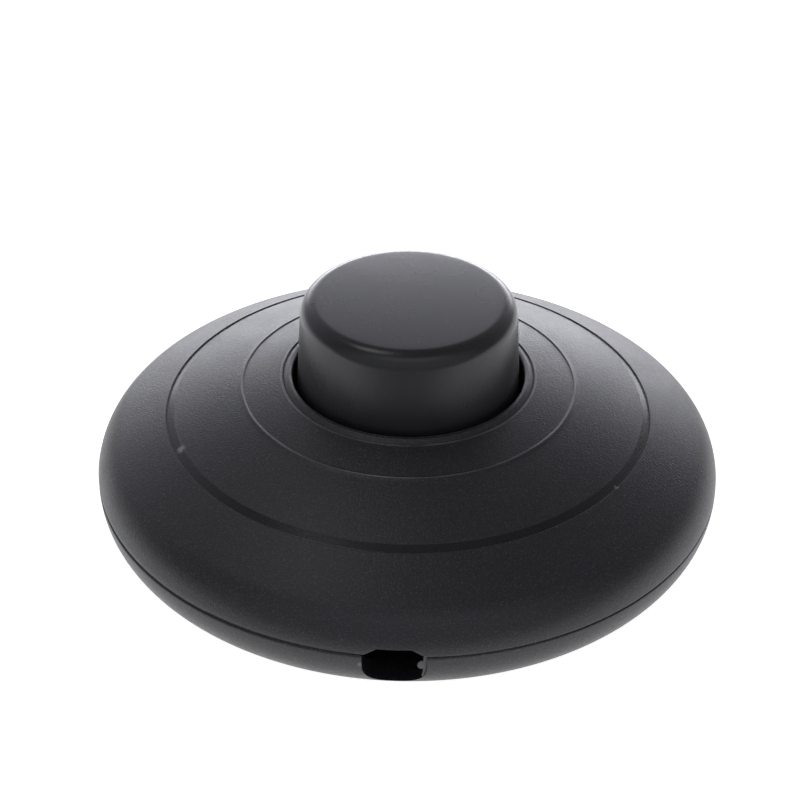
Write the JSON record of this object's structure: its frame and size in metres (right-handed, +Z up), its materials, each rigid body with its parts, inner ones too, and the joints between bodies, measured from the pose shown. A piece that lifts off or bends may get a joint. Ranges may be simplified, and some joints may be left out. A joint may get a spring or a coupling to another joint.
{
  "type": "lamp foot switch",
  "caption": "Round low-profile foot switch for a lamp cord: domed cover with fine rings, tall push button, shallow bowl base with opposed cord outlets and a ratchet contact mechanism inside.",
  "frame": {"origin": "centre of the underside, on the floor plane under the four feet", "axes": "+Z is up along the button's axis, -Y points out of the front cord outlet, +X is to the right seen from the front"},
  "size_m": [0.064, 0.0638, 0.0258],
  "materials": {
    "shell_plastic": "charcoal black moulded plastic with a fine spark-eroded grain",
    "button_plastic": "charcoal black moulded plastic, smooth satin",
    "nylon": "natural nylon, satin",
    "block_plastic": "ivory moulded insulating plastic, matte",
    "clamp_plastic": "black moulded plastic, matte",
    "brass": "rolled brass strip",
    "silver": "silver alloy contact face",
    "zinc_steel": "zinc-plated steel",
    "pin_steel": "ground steel",
    "spring_steel": "drawn spring wire",
    "rubber": "black rubber, matte"
  },
  "bodies": {
    "housing": {"base_shell": "shell_plastic", "top_cover": "shell_plastic", "contact_block": "block_plastic", "pivot_pin": "pin_steel", "live_contact_front": "brass", "live_contact_rear": "brass", "contact_tips": "silver", "neutral_link": "brass", "terminal_washers": "zinc_steel", "terminal_screws": "zinc_steel", "cord_clamp_front": "clamp_plastic", "cord_clamp_rear": "clamp_plastic", "cord_clamp_screws": "zinc_steel", "housing_screws": "zinc_steel", "return_spring": "spring_steel", "rotor_spring": "spring_steel", "foot_pads": "rubber"},
    "button": {"button_cap": "button_plastic", "drive_plunger": "nylon"},
    "rotor": {"ratchet_rotor": "nylon", "contact_cross": "brass"}
  },
  "joints": [
    {"name": "button_press", "type": "slide", "parent": "housing", "child": "button", "axis": [0, 0, -1], "range_m": [0, 0.0038], "stiffness_N_per_m": 800, "springref_m": -0.003, "deforming": ["return_spring", "rotor_spring"]},
    {"name": "rotor_index", "type": "hinge", "parent": "housing", "child": "rotor", "pos_m": [0, 0, 0.0055], "axis": [0, 0, 1], "range_deg": [0, 45]}
  ],
  "couplings": [
    {"joint": "rotor_index", "follows": "button_press", "rad_per_m": 206.68}
  ]
}
